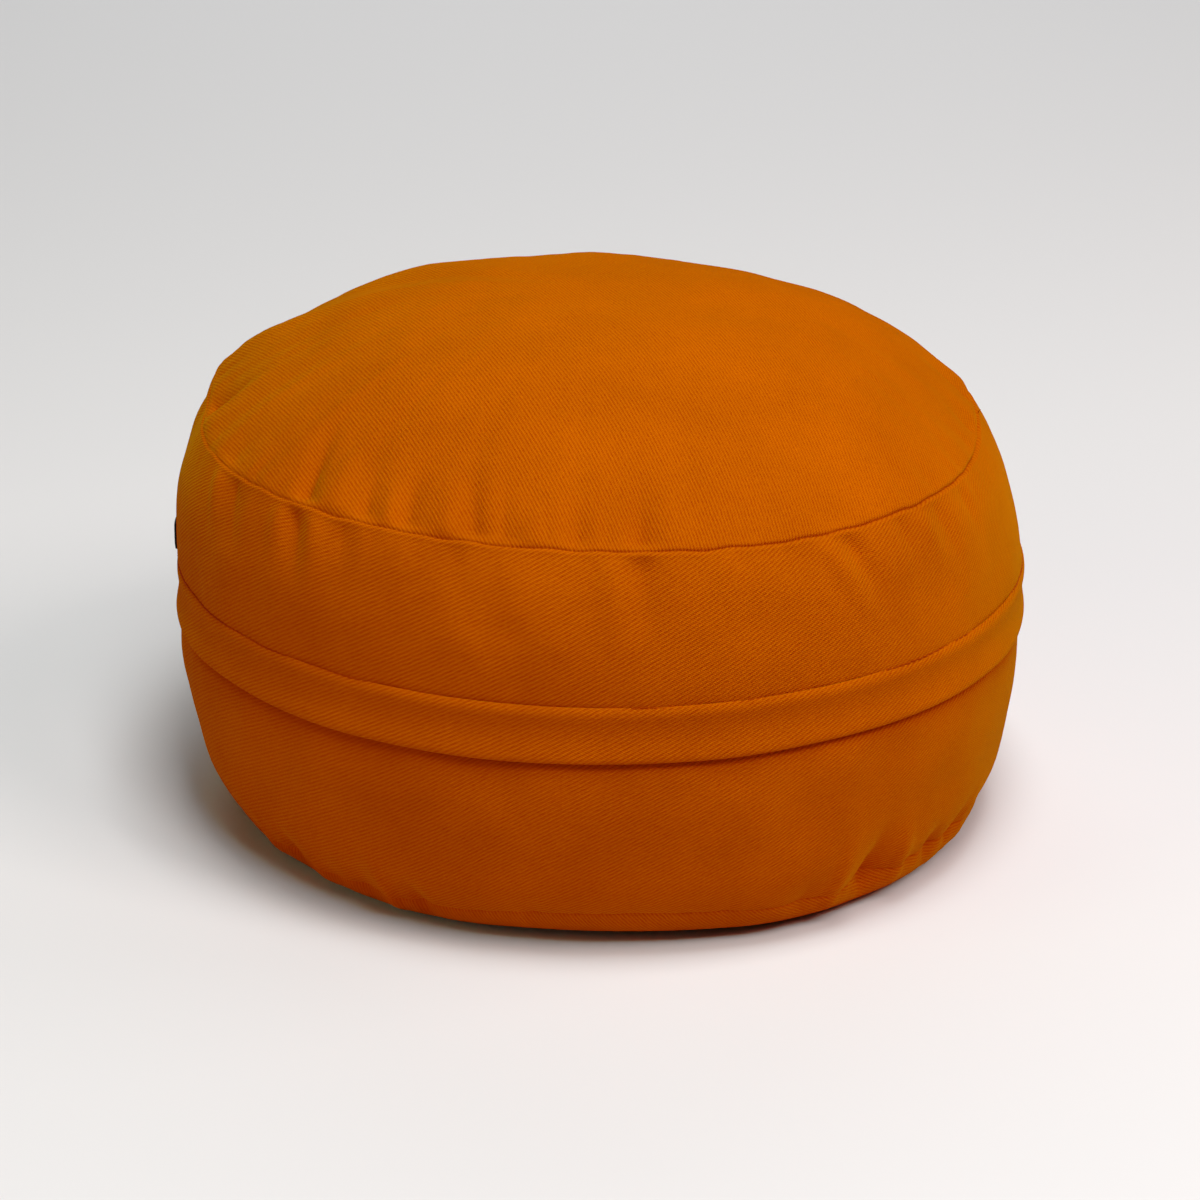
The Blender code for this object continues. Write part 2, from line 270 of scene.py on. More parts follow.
# A seam is drawn in over a sharp channel, and more widely and softly beside it, and gathers the cloth finely.
# All are in millimetres, but for tighter, the share by which the channel is deeper on the right.
Channel = namedtuple("Channel", "depth tighter reach roll roll_reach gather gather_reach")
TOP_SEAM = Channel(
    depth=1.0, tighter=0.50, reach=0.62, roll=0.35, roll_reach=4.0, gather=0.24, gather_reach=18.0
)
BASE_SEAM = Channel(
    depth=0.45, tighter=0.0, reach=0.60, roll=0.20, roll_reach=4.0, gather=0.20, gather_reach=14.0
)
# How far from its seam, in millimetres, two panels still face the same way
SEAM_ROUNDING = 3.5
# How far the top seam's stitches hold back the folds of the panels on both sides of it, in millimetres
FOLDS_HELD = {"upper": 4.4, "crown": 2.8}
# The top seam strays up and down, in millimetres, in so many waves to the round
SEAM_WANDER = 0.16
SEAM_WANDER_WAVES = (29, 41, 62)
# Fine gathers to the round, and how far their number spreads to either side
GATHERS_ROUND = 104
GATHERS_SPREAD = 24
GATHERS_STEP = 3
GATHERS_STRENGTH = (0.4, 1.0)

# The upper band stands out in a small lip just under the top seam, in millimetres
LIP_HEIGHT = 0.22
LIP_AWAY = 1.3
LIP_WIDTH = 1.1
# The topstitching draws the cloth in along its line, and more at each needle hole, in millimetres
STITCH_LINE_DEPTH = 0.05
STITCH_LINE_REACH = 1.3
NEEDLE_DIMPLE = 0.30
# The flap hangs free over this height, and the lower band is hollow behind it and a little below, in mm
FLAP_FREE_HEIGHT = 21.0
UNDER_FLAP_HOLLOW = 0.8
UNDER_FLAP_FADE = 3.5
# The share of the way to its middle at which the crown's last ring lies
CROWN_LAST_SHARE = 0.97

# The twill: its ribs lie 1.34 mm apart and climb to the right at 29.2 degrees on the bands. A whole number of
# them goes round, so the cloth matches where the round closes.
RIB_PITCH = 1.34 * MM
BAND_RIB_ANGLE = 29.2
CROWN_RIB_ANGLE = 114.0
BASE_RIB_ANGLE = 63.0
RIBS_ROUND = 374
BAND_LENGTH = RIBS_ROUND * RIB_PITCH / math.sin(math.radians(BAND_RIB_ANGLE))

# The label, a ribbon sewn flat on the left of the upper band, just over the topstitching
LABEL_BACK = -187.0
LABEL_FRONT = -175.5
LABEL_BOTTOM = 101.7 * MM
LABEL_HEIGHT = 10.2 * MM
LABEL_THICKNESS = 0.7 * MM
LABEL_LIFT = 0.10 * MM
LABEL_CURL = 0.15 * MM
LABEL_CURL_START = 0.7
LABEL_INSET = 0.02
LABEL_COLUMNS = 40
LABEL_ROWS = 16

# A thread end left at the top seam, on the right: how far out, along and up from its seam each bend is, in mm
THREAD_END_ANGLE = 2.5
THREAD_END_BENDS = (
    (-1.0, 0.0, 0.0),
    (0.6, -0.3, -0.5),
    (1.5, -0.2, -0.2),
    (1.9, 0.1, 0.5),
    (2.2, 0.3, 1.0),
    (2.7, 0.4, 1.2),
)

# The photo's camera
CAMERA_DISTANCE = 1.32
CAMERA_HEIGHT_ANGLE = 21.82
CAMERA_ROLL = -0.9
CAMERA_TARGET_HEIGHT = 78 * MM
CAMERA_LENS = 100.56
CAMERA_SENSOR = 36.0

# The floor's half width, how far it lies under the base, and the strength of the light from all round
FLOOR_HALF = 6.0
FLOOR_DROP = 0.1 * MM
ROOM_LIGHT = 0.03

RANDOM_SEED = 7

Row = namedtuple("Row", "radius height shift")


def soft_bump(distance):
    """1 at no distance, falling smoothly to 0 at a distance of 1."""
    return np.cos(np.minimum(np.abs(distance), 1.0) * math.pi / 2) ** 2


def sharp_valley(distance):
    """As a soft bump, but hardly rounded in its middle, as cloth creases where it folds inwards."""
    slope = np.sqrt(distance**2 + CREASE_ROUNDING**2) - CREASE_ROUNDING
    return np.maximum(1.0 - slope, 0.0) ** 1.5


def fading(distance, reach, power):
    """1 at no distance, about a third at its reach, and fading to nothing. A higher power fades faster."""
    return np.exp(-((distance / reach) ** power))


def turn_from(angle, other):
    """How far an angle is turned from another, from -180 to 180 degrees."""
    return (angle - other + 180.0) % 360.0 - 180.0


def round_table(table, column, angles):
    """A column of a table that has an angle column, read smoothly right round the cushion."""
    rows = sorted(table, key=lambda row: row.angle)
    known = np.array([row.angle for row in rows], float)
    values = np.array([getattr(row, column) for row in rows], float)
    known = np.concatenate([known[-2:] - 360, known, known[:2] + 360])
    values = np.concatenate([values[-2:], values, values[:2]])
    slopes = np.gradient(values, known)
    turned = (np.asarray(angles, float) - known[2] + 1e-9) % 360.0 + known[2]
    place = np.clip(np.searchsorted(known, turned) - 1, 0, len(known) - 2)
    wide = known[place + 1] - known[place]
    t = (turned - known[place]) / wide
    before = (2 * t**3 - 3 * t**2 + 1) * values[place] + (t**3 - 2 * t**2 + t) * wide * slopes[place]
    after = (3 * t**2 - 2 * t**3) * values[place + 1] + (t**3 - t**2) * wide * slopes[place + 1]
    return before + after


def drifted(row, *drifts):
    """A row with parts of some drifts added: each drift comes with its share."""
    radius, height = row.radius, row.height
    for drift, share in drifts:
        radius = radius + share * MM * round_table(drift, "out", ANGLES)
        height = height + share * MM * round_table(drift, "up", ANGLES)
    return Row(radius, height, row.shift)


def base_rows():
    """The base's section, from its rim on the floor up to its seam."""
    return (
        drifted(Row(0.1290, 0.0, BASE_SHIFT), (BASE_EDGE_DRIFT, 1)),
        drifted(Row(0.1405, 0.0022, BASE_SHIFT), (BASE_EDGE_DRIFT, 0.7), (BASE_SEAM_DRIFT, 0.3)),
        drifted(Row(0.1480, 0.0075, BASE_SHIFT), (BASE_EDGE_DRIFT, 0.3), (BASE_SEAM_DRIFT, 0.7)),
        base_seam_row(),
    )


def base_seam_row():
    return drifted(Row(0.1520, 0.0145, 0.8 * BASE_SHIFT), (BASE_SEAM_DRIFT, 1))


def lower_rows():
    """The lower band's section, from its seam up behind the flap to the topstitching."""
    return (
        base_seam_row(),
        drifted(Row(0.1580, 0.0270, 0.6 * BASE_SHIFT), (BASE_SEAM_DRIFT, 0.5), (LOW_SIDE_DRIFT, 0.8)),
        drifted(Row(0.1612, 0.0450, 0.3 * BASE_SHIFT), (BASE_SEAM_DRIFT, 0.15), (LOW_SIDE_DRIFT, 1)),
        drifted(Row(UNDER_FLAP_RADIUS + 1.2 * MM, 0.0620, 0.0), (LOW_SIDE_DRIFT, 0.3)),
        drifted(Row(UNDER_FLAP_RADIUS + 1.2 * MM, FLAP_FOLD_HEIGHT - 4.5 * MM, 0.0), (FLAP_DRIFT, 1)),
        drifted(Row(UNDER_FLAP_RADIUS - 0.2 * MM, FLAP_FOLD_HEIGHT + 3.5 * MM, 0.0), (FLAP_DRIFT, 1)),
        drifted(Row(UNDER_FLAP_RADIUS - 1.0 * MM, FLAP_STITCH_HEIGHT - 0.4 * MM, 0.0), (FLAP_DRIFT, 1)),
    )


def top_seam_row():
    """The top seam, which was fed through the machine by hand, so it strays up and down a little."""
    uneven = np.random.default_rng(RANDOM_SEED + 2)
    row = drifted(Row(0.1515, 0.1568, TOP_SHIFT), (TOP_SEAM_DRIFT, 1))
    height = row.height
    for waves in SEAM_WANDER_WAVES:
        height = height + MM * SEAM_WANDER * np.sin(waves * TURNS + uneven.uniform(0, 2 * math.pi))
    return row._replace(height=height)


def upper_rows():
    """The upper band's section, from the topstitching up to the top seam."""
    above_flap = Row(SIDE_RADIUS - 2.2 * MM, 0.1150, 0.3 * TOP_SHIFT)
    return (
        drifted(Row(SIDE_RADIUS - 1.8 * MM, FLAP_STITCH_HEIGHT, 0.0), (FLAP_DRIFT, 1)),
        drifted(above_flap, (FLAP_DRIFT, 0.6), (HIGH_SIDE_DRIFT, 0.5)),
        drifted(Row(SIDE_RADIUS - 4.0 * MM, 0.1290, 0.6 * TOP_SHIFT), (HIGH_SIDE_DRIFT, 1)),
        drifted(Row(0.1575, 0.1440, 0.8 * TOP_SHIFT), (HIGH_SIDE_DRIFT, 0.5), (TOP_SEAM_DRIFT, 0.5)),
        top_seam_row(),
    )


def through_rows(rows, share):
    """The row at a share, 0 to 1, of the way along a section, on a smooth curve through its rows."""
    place = share * (len(rows) - 1)
    step = min(int(place), len(rows) - 2)
    t = place - step
    before = rows[max(step - 1, 0)]
    after = rows[min(step + 2, len(rows) - 1)]
    found = []
    for a, b, c, d in zip(before, rows[step], rows[step + 1], after):
        bend = (2 * a - 5 * b + 4 * c - d) * t**2 + (3 * b - a - 3 * c + d) * t**3
        found.append((2 * b + (c - a) * t + bend) / 2)
    return Row(*found)


def ring_points(row):
    """The points of a row, once round the cushion."""
    x = row.radius * np.cos(TURNS) + row.shift
    y = row.radius * np.sin(TURNS)
    return np.stack([x, y, row.height + 0 * x], axis=-1)


def band_net(rows, shares):
    """A band's net, with a ring at each share of the way up its section."""
    return np.array([ring_points(through_rows(rows, share)) for share in shares])


def crown_net(shares):
    """The top panel, from its seam at a share of 0 almost to its middle at 1."""
    power = round_table(CROWN_FULLNESS, "power", ANGLES)
    seam = top_seam_row()
    rings = []
    for share in shares:
        height = CROWN_HEIGHT - (CROWN_HEIGHT - seam.height) * (1 - share) ** power
        rings.append(ring_points(Row(seam.radius * (1 - share), height, TOP_SHIFT)))
    return np.array(rings)


def graded(count, growth, widest, both_ends=True):
    """Shares from 0 to 1 whose spacing grows away from the start, or from both ends, up to a widest one."""
    number = np.arange(count - 1)
    if both_ends:
        number = np.minimum(number, number[::-1])
    steps = np.minimum(growth**number, widest)
    return np.concatenate([[0], np.cumsum(steps) / steps.sum()])


def outward_of(net):
    """The direction straight out of each point of a net."""
    along = np.roll(net, -1, axis=1) - np.roll(net, 1, axis=1)
    up = np.gradient(net, axis=0)
    out = np.cross(along, up)
    return out / np.maximum(np.linalg.norm(out, axis=2, keepdims=True), 1e-12)


def all_folds():
    """Every fold, those of the back among them. Folds of the lower band's seam run on under the base."""
    uneven = np.random.default_rng(RANDOM_SEED)
    found = list(FRONT_FOLDS)
    for number in range(BACK_PLACES):
        middle = BACK_FIRST_ANGLE + BACK_SPACING * number
        for back in BACK_FOLDS:
            angle = middle + uneven.uniform(*BACK_STRAY)
            # The power makes shallow folds commoner than deep ones
            depth = back.deepest * uneven.uniform(*BACK_DEPTH_SHARE) ** 1.5
            width = uneven.uniform(*BACK_WIDTH)
            lean = uneven.uniform(*BACK_LEAN)
            reach = back.farthest * uneven.uniform(*BACK_REACH_SHARE)
            fold = Fold(back.panel, angle, lean, depth, width, reach)
            found.append(fold)
            found.append(fold._replace(angle=angle + RIDGE_WIDTHS_AWAY * width, depth=RIDGE_SHARE * depth))
    for fold in list(found):
        if fold.panel == "lower":
            found.append(fold._replace(panel="base", lean=0, reach=BASE_FOLD_REACH))
    return found


def unevenness(points):
    """The filling's soft lumps, in millimetres: a few smooth waves through space, the same each time."""
    uneven = np.random.default_rng(RANDOM_SEED)
    total = np.zeros(points.shape[:-1])
    for lumps in FILLING_LUMPS:
        for _ in range(lumps.waves):
            way = uneven.normal(size=3)
            way *= 2 * math.pi / lumps.length / np.linalg.norm(way)
            wave = np.sin(points @ way + uneven.uniform(0, 2 * math.pi))
            total += lumps.size * wave / math.sqrt(lumps.waves)
    return total


def fine_gathers():
    """The small uneven gathers of the cloth beside a seam, by step: from -1 to 1."""
    uneven = np.random.default_rng(RANDOM_SEED + 1)
    total = np.zeros(ROUND_STEPS)
    for number in range(-GATHERS_SPREAD, GATHERS_SPREAD + 1, GATHERS_STEP):
        strength = uneven.uniform(*GATHERS_STRENGTH)
        total += strength * np.sin((GATHERS_ROUND + number) * TURNS + uneven.uniform(0, 2 * math.pi))
    return total / np.abs(total).max()


class Panel:
    """One panel of cloth as a net of rings and steps. length is how far up the cloth each point lies and away
    how far it is from the seam, in metres of cloth. moved is how far each point is moved along its way
    outwards, and points are where they end up."""

    def __init__(self, name, net, seam_ring, channel):
        self.name = name
        self.net = net
        stretches = np.linalg.norm(np.diff(net, axis=0), axis=2)
        length = np.concatenate([np.zeros((1, ROUND_STEPS)), np.cumsum(stretches, axis=0)])
        self.length = length
        self.seam_ring = seam_ring
        self.away = np.abs(length - length[seam_ring])
        self.channel = channel
        self.ways = outward_of(net)
        self.moved = self.drawn_in()
        self.points = net

    def drawn_in(self):
        """How far the seam, the gathers, the folds and the swells move each point outwards, in metres."""
        away = self.away / MM
        out = self.channel.gather * fine_gathers() * soft_bump(away / self.channel.gather_reach)
        for fold in all_folds():
            if fold.panel == self.name:
                middle = fold.angle + fold.lean * np.minimum(away / fold.reach, 1)
                place = turn_from(ANGLES, middle) / fold.width
                across = sharp_valley(place) if fold.depth > 0 else soft_bump(place)
                out -= fold.depth * across * soft_bump(away / fold.reach)
        if self.name in FOLDS_HELD:
            out *= 1 - fading(away, FOLDS_HELD[self.name], 2)
        depth = self.channel.depth * (1 + self.channel.tighter * np.cos(TURNS))
        out -= depth * fading(away, self.channel.reach, 1.2)
        out -= self.channel.roll * fading(away, self.channel.roll_reach, 1.5)
        for swell in SWELLS:
            if swell.panel == self.name:
                across = soft_bump(turn_from(ANGLES, swell.angle) / swell.width)
                out += swell.out * across * soft_bump((away - swell.away) / swell.reach)
        return out * MM


def join_panels(first, second):
    """Makes two panels go the same way outwards at the seam that they share, and places their points."""
    shared = first.ways[first.seam_ring] + second.ways[second.seam_ring]
    shared /= np.linalg.norm(shared, axis=1, keepdims=True)
    for panel in (first, second):
        near = fading(panel.away, SEAM_ROUNDING * MM, 2)[..., None]
        ways = panel.ways * (1 - near) + shared[None] * near
        panel.ways = ways / np.linalg.norm(ways, axis=2, keepdims=True)
        panel.points = panel.net + panel.ways * panel.moved[..., None]


def make_panels():
    """The four panels, with lumps of the filling under all but the base, and the stitch line drawn in."""
    base_shares = 1 - graded(count=12, growth=1.3, widest=8, both_ends=False)[::-1]
    lower_shares = graded(count=42, growth=1.25, widest=8)
    upper_shares = graded(count=44, growth=1.25, widest=8)
    crown_shares = CROWN_LAST_SHARE * graded(count=56, growth=1.13, widest=14, both_ends=False)
    base = Panel("base", band_net(base_rows(), base_shares), -1, BASE_SEAM)
    lower = Panel("lower", band_net(lower_rows(), lower_shares), 0, BASE_SEAM)
    upper = Panel("upper", band_net(upper_rows(), upper_shares), -1, TOP_SEAM)
    crown = Panel("crown", crown_net(crown_shares), 0, TOP_SEAM)
    for panel in (lower, upper, crown):
        panel.moved += MM * unevenness(panel.net) * soft_bump(1 - np.minimum(panel.away / LUMPS_FADE, 1))
    hidden = (lower.length[-1] - lower.length) / MM
    behind_flap = soft_bump(np.maximum(hidden - FLAP_FREE_HEIGHT, 0) / UNDER_FLAP_FADE)
    lower.moved -= MM * UNDER_FLAP_HOLLOW * behind_flap
    above = upper.length / MM
    dimple = np.where(np.arange(ROUND_STEPS) % 2 == 0, NEEDLE_DIMPLE, 0.0)
    upper.moved -= MM * (STITCH_LINE_DEPTH + dimple) * fading(above, STITCH_LINE_REACH, 1.4)
    upper.moved += MM * LIP_HEIGHT * soft_bump((upper.away / MM - LIP_AWAY) / LIP_WIDTH)
    join_panels(base, lower)
    join_panels(upper, crown)
    return base, lower, upper, crown


def cloth_place(along, up, rib_angle):
    """Where a point of the cloth lies along its rib and across the ribs, in metres."""
    turn = math.radians(rib_angle)
    along_rib = along * math.cos(turn) + up * math.sin(turn)
    across_ribs = up * math.cos(turn) - along * math.sin(turn)
    return np.stack([along_rib, across_ribs], axis=-1)


def band_cloth(up):
    """Cloth places on a band, for rings at those heights of cloth. The last step closes the round."""
    up = np.concatenate([up, up[:, :1]], axis=1)
    along = np.linspace(0, BAND_LENGTH, up.shape[1])[None, :] + 0 * up
    return cloth_place(along, up, BAND_RIB_ANGLE)


def disc_cloth(from_middle, rib_angle):
    """Cloth places on a disc, for rings at those distances of cloth from its middle."""
    from_middle = np.concatenate([from_middle, from_middle[:, :1]], axis=1)
    turn = np.linspace(0, 2 * math.pi, from_middle.shape[1])[None, :]
    return cloth_place(from_middle * np.cos(turn), from_middle * np.sin(turn), rib_angle)


def panel_cloth(panel):
    """The cloth places of a panel's rings, with one step more than the panel, where its round closes."""
    if panel.name == "crown":
        middle = np.linalg.norm(panel.net[-1, :, :2] - [TOP_SHIFT, 0], axis=1)
        return disc_cloth(panel.length[-1] - panel.length + middle, CROWN_RIB_ANGLE)
    if panel.name == "base":
        middle = np.linalg.norm(panel.net[0, :, :2] - [BASE_SHIFT, 0], axis=1)
        return disc_cloth(panel.length + middle, BASE_RIB_ANGLE)
    return band_cloth(panel.length)


def linear(hex_colour):
    """An sRGB hex colour as linear red, green and blue, by the standard's own rule."""
    values = [int(hex_colour[place : place + 2], 16) / 255 for place in (1, 3, 5)]
    return [v / 12.92 if v <= 0.04045 else ((v + 0.055) / 1.055) ** 2.4 for v in values]


def node(tree, kind, inputs=None, **settings):
    """Adds a node of a kind, with its settings, and sets or links its inputs. An input given as a node is
    linked to its first output. Returns the node."""
    made = tree.nodes.new(kind)
    for name, value in settings.items():
        setattr(made, name, value)
    for socket, value in (inputs or {}).items():
        if isinstance(value, bpy.types.Node):
            value = value.outputs[0]
        if isinstance(value, bpy.types.NodeSocket):
            tree.links.new(value, made.inputs[socket])
        else:
            made.inputs[socket].default_value = value
    return made


def new_material(name):
    """An empty material and its tree of nodes."""
    material = bpy.data.materials.new(name)
    material.use_nodes = True
    material.node_tree.nodes.clear()
    return material, material.node_tree


def cloth_ways(tree):
    """The cloth place of what is shaded: how far it is along the cloth's rib, and across it."""
    parts = node(tree, "ShaderNodeSeparateXYZ", {0: node(tree, "ShaderNodeUVMap", uv_map="cloth")})
    return parts.outputs[0], parts.outputs[1]


def cotton_twill(name, rib_colour, shaded_furrow_colour):
    """Heavy cotton twill, piece-dyed orange: spun cotton yarns float over each other in a diagonal rib. Its
    ribs are coloured light and its furrows darker and redder, as painted shade in the weave's hollows, with
    the grain's random tone mixed in. It has no gloss, and a warm bloom of loose fibres at the rims."""
    wander_length = 3.03 * MM
    wander_size = 0.6 * MM
    slub_length = 2.0 * MM
    float_length = 0.82 * MM
    float_share = 0.24
    grain_length = 0.909 * MM
    grain_share = 1.1
    patch_length = 38.5 * MM
    bump_height = 0.115 * MM
    material, tree = new_material(name)
    along, across = cloth_ways(tree)
    place = node(tree, "ShaderNodeTexCoord").outputs["Object"]

    # Yarns aren't even, so each rib wanders by a tenth of a millimetre or two
    wander = node(tree, "ShaderNodeTexNoise", {"Vector": place, "Scale": 1 / wander_length, "Detail": 2.0})
    shift = node(tree, "ShaderNodeMath", {0: wander, 1: 0.5}, operation="SUBTRACT")
    strayed = node(tree, "ShaderNodeMath", {0: shift, 1: wander_size, 2: across}, operation="MULTIPLY_ADD")
    rib_turn = node(tree, "ShaderNodeMath", {0: strayed, 1: 2 * math.pi / RIB_PITCH}, operation="MULTIPLY")
    rib_wave = node(tree, "ShaderNodeMath", {0: rib_turn}, operation="SINE")

    # Spun yarn is thick and thin, so a rib stands out for some millimetres and sinks for the next
    slub = node(tree, "ShaderNodeTexNoise", {"Vector": place, "Scale": 1 / slub_length, "Detail": 2.0})
    strength = node(tree, "ShaderNodeMapRange", {0: slub, 1: 0.32, 2: 0.68, 3: 0.24, 4: 0.68})
    rib = node(tree, "ShaderNodeMath", {0: rib_wave, 1: strength}, operation="MULTIPLY")

    # The yarn's floats cross each rib about every 0.8 mm, staggered from rib to rib
    rate = 2 * math.pi / float_length
    float_turn = node(tree, "ShaderNodeMath", {0: along, 1: rate, 2: rib_turn}, operation="MULTIPLY_ADD")
    float_wave = node(tree, "ShaderNodeMath", {0: float_turn}, operation="SINE")
    weave = node(tree, "ShaderNodeMath", {0: float_wave, 1: float_share, 2: rib}, operation="MULTIPLY_ADD")

    # Loose fibres and slubs make a soft grain of half a millimetre
    grain = node(tree, "ShaderNodeTexNoise", {"Vector": place, "Scale": 1 / grain_length, "Detail": 2.0})
    height = node(tree, "ShaderNodeMath", {0: grain, 1: grain_share, 2: weave}, operation="MULTIPLY_ADD")

    # Dye and handling leave soft patches a few centimetres across, and smaller ones inside them
    patches = node(
        tree,
        "ShaderNodeTexNoise",
        {"Vector": place, "Scale": 1 / patch_length, "Detail": 4.0, "Roughness": 0.6},
    )
    patch = node(tree, "ShaderNodeMapRange", {0: patches, 1: 0.3, 2: 0.7, 3: 0.93, 4: 1.06})
    # Painted shade: the lower the weave lies, the darker and redder the cloth is coloured, as shade in its
    # furrows; the grain in the height adds random tone
    tone = node(tree, "ShaderNodeMapRange", {0: height, 1: -0.5, 2: 1.6, 3: 0.0, 4: 1.0})
    # Sockets 6 and 7 of a mix are its two colours, and output 2 is the mixed one
    mixed = node(
        tree,
        "ShaderNodeMix",
        {0: tone, 6: (*linear(shaded_furrow_colour), 1), 7: (*linear(rib_colour), 1)},
        data_type="RGBA",
    )
    colour = node(tree, "ShaderNodeVectorMath", {0: mixed.outputs[2], 1: patch}, operation="MULTIPLY")
    bump = node(tree, "ShaderNodeBump", {"Strength": 1.0, "Distance": bump_height, "Height": height})
    shader = node(
        tree,
        "ShaderNodeBsdfPrincipled",
        {
            "Base Color": colour,
            "Roughness": 0.95,
            "IOR": 1.45,
            "Specular IOR Level": 0.01,
            "Sheen Weight": 0.15,
            "Sheen Roughness": 0.45,
            "Sheen Tint": (*linear("#ffce00"), 1),
            "Normal": bump,
        },
    )
    node(tree, "ShaderNodeOutputMaterial", {0: shader})
    return material


def sewing_thread(name, colour):
    """Spun polyester-cotton sewing thread, two-ply: a fine slanting twist, a bit smoother than the cloth."""
    twist_length = 0.6 * MM
    bump_height = 0.05 * MM
    material, tree = new_material(name)
    along, around = cloth_ways(tree)
    turn = node(tree, "ShaderNodeMath", {0: along, 1: 2 * math.pi / twist_length}, operation="MULTIPLY")
    slant = node(tree, "ShaderNodeMath", {0: around, 1: 2 * math.pi, 2: turn}, operation="MULTIPLY_ADD")
    ply = node(tree, "ShaderNodeMath", {0: slant}, operation="SINE")
    tone = node(tree, "ShaderNodeMapRange", {0: ply, 1: -1.0, 2: 1.0, 3: 0.75, 4: 1.05})
    shade = node(tree, "ShaderNodeVectorMath", {0: linear(colour), 1: tone}, operation="MULTIPLY")
    bump = node(tree, "ShaderNodeBump", {"Strength": 0.8, "Distance": bump_height, "Height": ply})
    shader = node(
        tree,
        "ShaderNodeBsdfPrincipled",
        {
            "Base Color": shade,
            "Roughness": 0.7,
            "Specular IOR Level": 0.15,
            "Specular Tint": (*linear("#ff9a20"), 1),
            "Normal": bump,
        },
    )
    node(tree, "ShaderNodeOutputMaterial", {0: shader})
    return material


def woven_ribbon(name, colour, pick_colour):
    """Plain-woven polyester label ribbon, dyed navy: dense and flat, with fine cross ribs and a slight satin
    look. Its picks are 0.35 mm apart, drawn at twice that so that they show."""
    shown_pick = 0.7 * MM
    bump_height = 0.06 * MM
    material, tree = new_material(name)
    along = cloth_ways(tree)[0]
    turn = node(tree, "ShaderNodeMath", {0: along, 1: 2 * math.pi / shown_pick}, operation="MULTIPLY")
    pick = node(tree, "ShaderNodeMath", {0: turn}, operation="SINE")
    tone = node(tree, "ShaderNodeMapRange", {0: pick, 1: -1.0, 2: 1.0, 3: 0.0, 4: 1.0})
    mixed = node(
        tree,
        "ShaderNodeMix",
        {0: tone, 6: (*linear(pick_colour), 1), 7: (*linear(colour), 1)},
        data_type="RGBA",
    )
    bump = node(tree, "ShaderNodeBump", {"Strength": 0.6, "Distance": bump_height, "Height": tone})
    shader = node(
        tree,
        "ShaderNodeBsdfPrincipled",
        {"Base Color": mixed.outputs[2], "Roughness": 0.55, "Specular IOR Level": 0.4, "Normal": bump},
    )
    node(tree, "ShaderNodeOutputMaterial", {0: shader})
    return material


def studio_paper(name, colour):
    """Uncoated backdrop paper, smooth and pale, with no gloss."""
    material, tree = new_material(name)
    shader = node(
        tree,
        "ShaderNodeBsdfPrincipled",
        {"Base Color": (*linear(colour), 1), "Roughness": 0.95, "Specular IOR Level": 0.1},
    )
    node(tree, "ShaderNodeOutputMaterial", {0: shader})
    return material


def net_faces(first, rings, steps, closed=True):
    """Faces of a net whose points are numbered ring by ring from first, as an array of four corners each."""
    ring = np.arange(rings - 1)[:, None]
    step = np.arange(steps if closed else steps - 1)[None, :]
    after = (step + 1) % steps
    low = first + ring * steps
    high = low + steps
    return np.stack([low + step, low + after, high + after, high + step], axis=-1).reshape(-1, 4)


def net_corners(cloth):
    """Cloth places of a net's face corners, from places that hold one step more than the net."""
    quads = [cloth[:-1, :-1], cloth[:-1, 1:], cloth[1:, 1:], cloth[1:, :-1]]
    return np.stack(quads, axis=2).reshape(-1, 4, 2)


def make_piece(name, points, faces, corners, material):
    """A smooth mesh from points, faces and the cloth place of each face corner, riding on the body."""
    data = bpy.data.meshes.new(name)
    data.from_pydata([tuple(point) for point in points], [], [[int(i) for i in face] for face in faces])
    places = np.concatenate([np.asarray(part, np.float32).reshape(-1) for part in corners])
    data.uv_layers.new(name="cloth").data.foreach_set("uv", places)
    data.materials.append(material)
    data.shade_smooth()
    made = bpy.data.objects.new(name, data)
    bpy.context.scene.collection.objects.link(made)
    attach(made, "root")
    return made


def make_cushion(panels, material):
    """The filled cushion, one closed skin: base, lower band, ledge behind the flap, upper band and crown."""
    base, lower, upper, crown = panels
    nets = [base.points[:-1], lower.points, upper.points, crown.points[1:]]
    bottom = np.array([[BASE_SHIFT, 0, 0]])
    top = nets[-1][-1].mean(axis=0, keepdims=True)
    top[0, 2] = max(top[0, 2], CROWN_HEIGHT)
    rings = np.concatenate(nets)
    points = np.concatenate([rings.reshape(-1, 3), bottom, top])
    bottom_number = len(rings) * ROUND_STEPS
    top_number = bottom_number + 1
    last_ring = bottom_number - ROUND_STEPS
    faces = list(net_faces(0, len(rings), ROUND_STEPS))
    faces += [((step + 1) % ROUND_STEPS, step, bottom_number) for step in range(ROUND_STEPS)]
    for step in range(ROUND_STEPS):
        faces.append((last_ring + step, last_ring + (step + 1) % ROUND_STEPS, top_number))
    base_cloth, lower_cloth, upper_cloth, crown_cloth = [panel_cloth(panel) for panel in panels]
    ledge = np.stack([lower_cloth[-1], upper_cloth[0]])
    corners = [net_corners(cloth) for cloth in (base_cloth, lower_cloth, ledge, upper_cloth, crown_cloth)]
    # The two fans' middle points are where a disc's cloth places are nought
    middle = np.zeros((ROUND_STEPS, 2))
    corners.append(np.stack([base_cloth[0, 1:], base_cloth[0, :-1], middle], axis=1))
    corners.append(np.stack([crown_cloth[-1, :-1], crown_cloth[-1, 1:], middle], axis=1))
    made = make_piece("cushion_body", points, faces, corners, material)
    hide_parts("cushion")


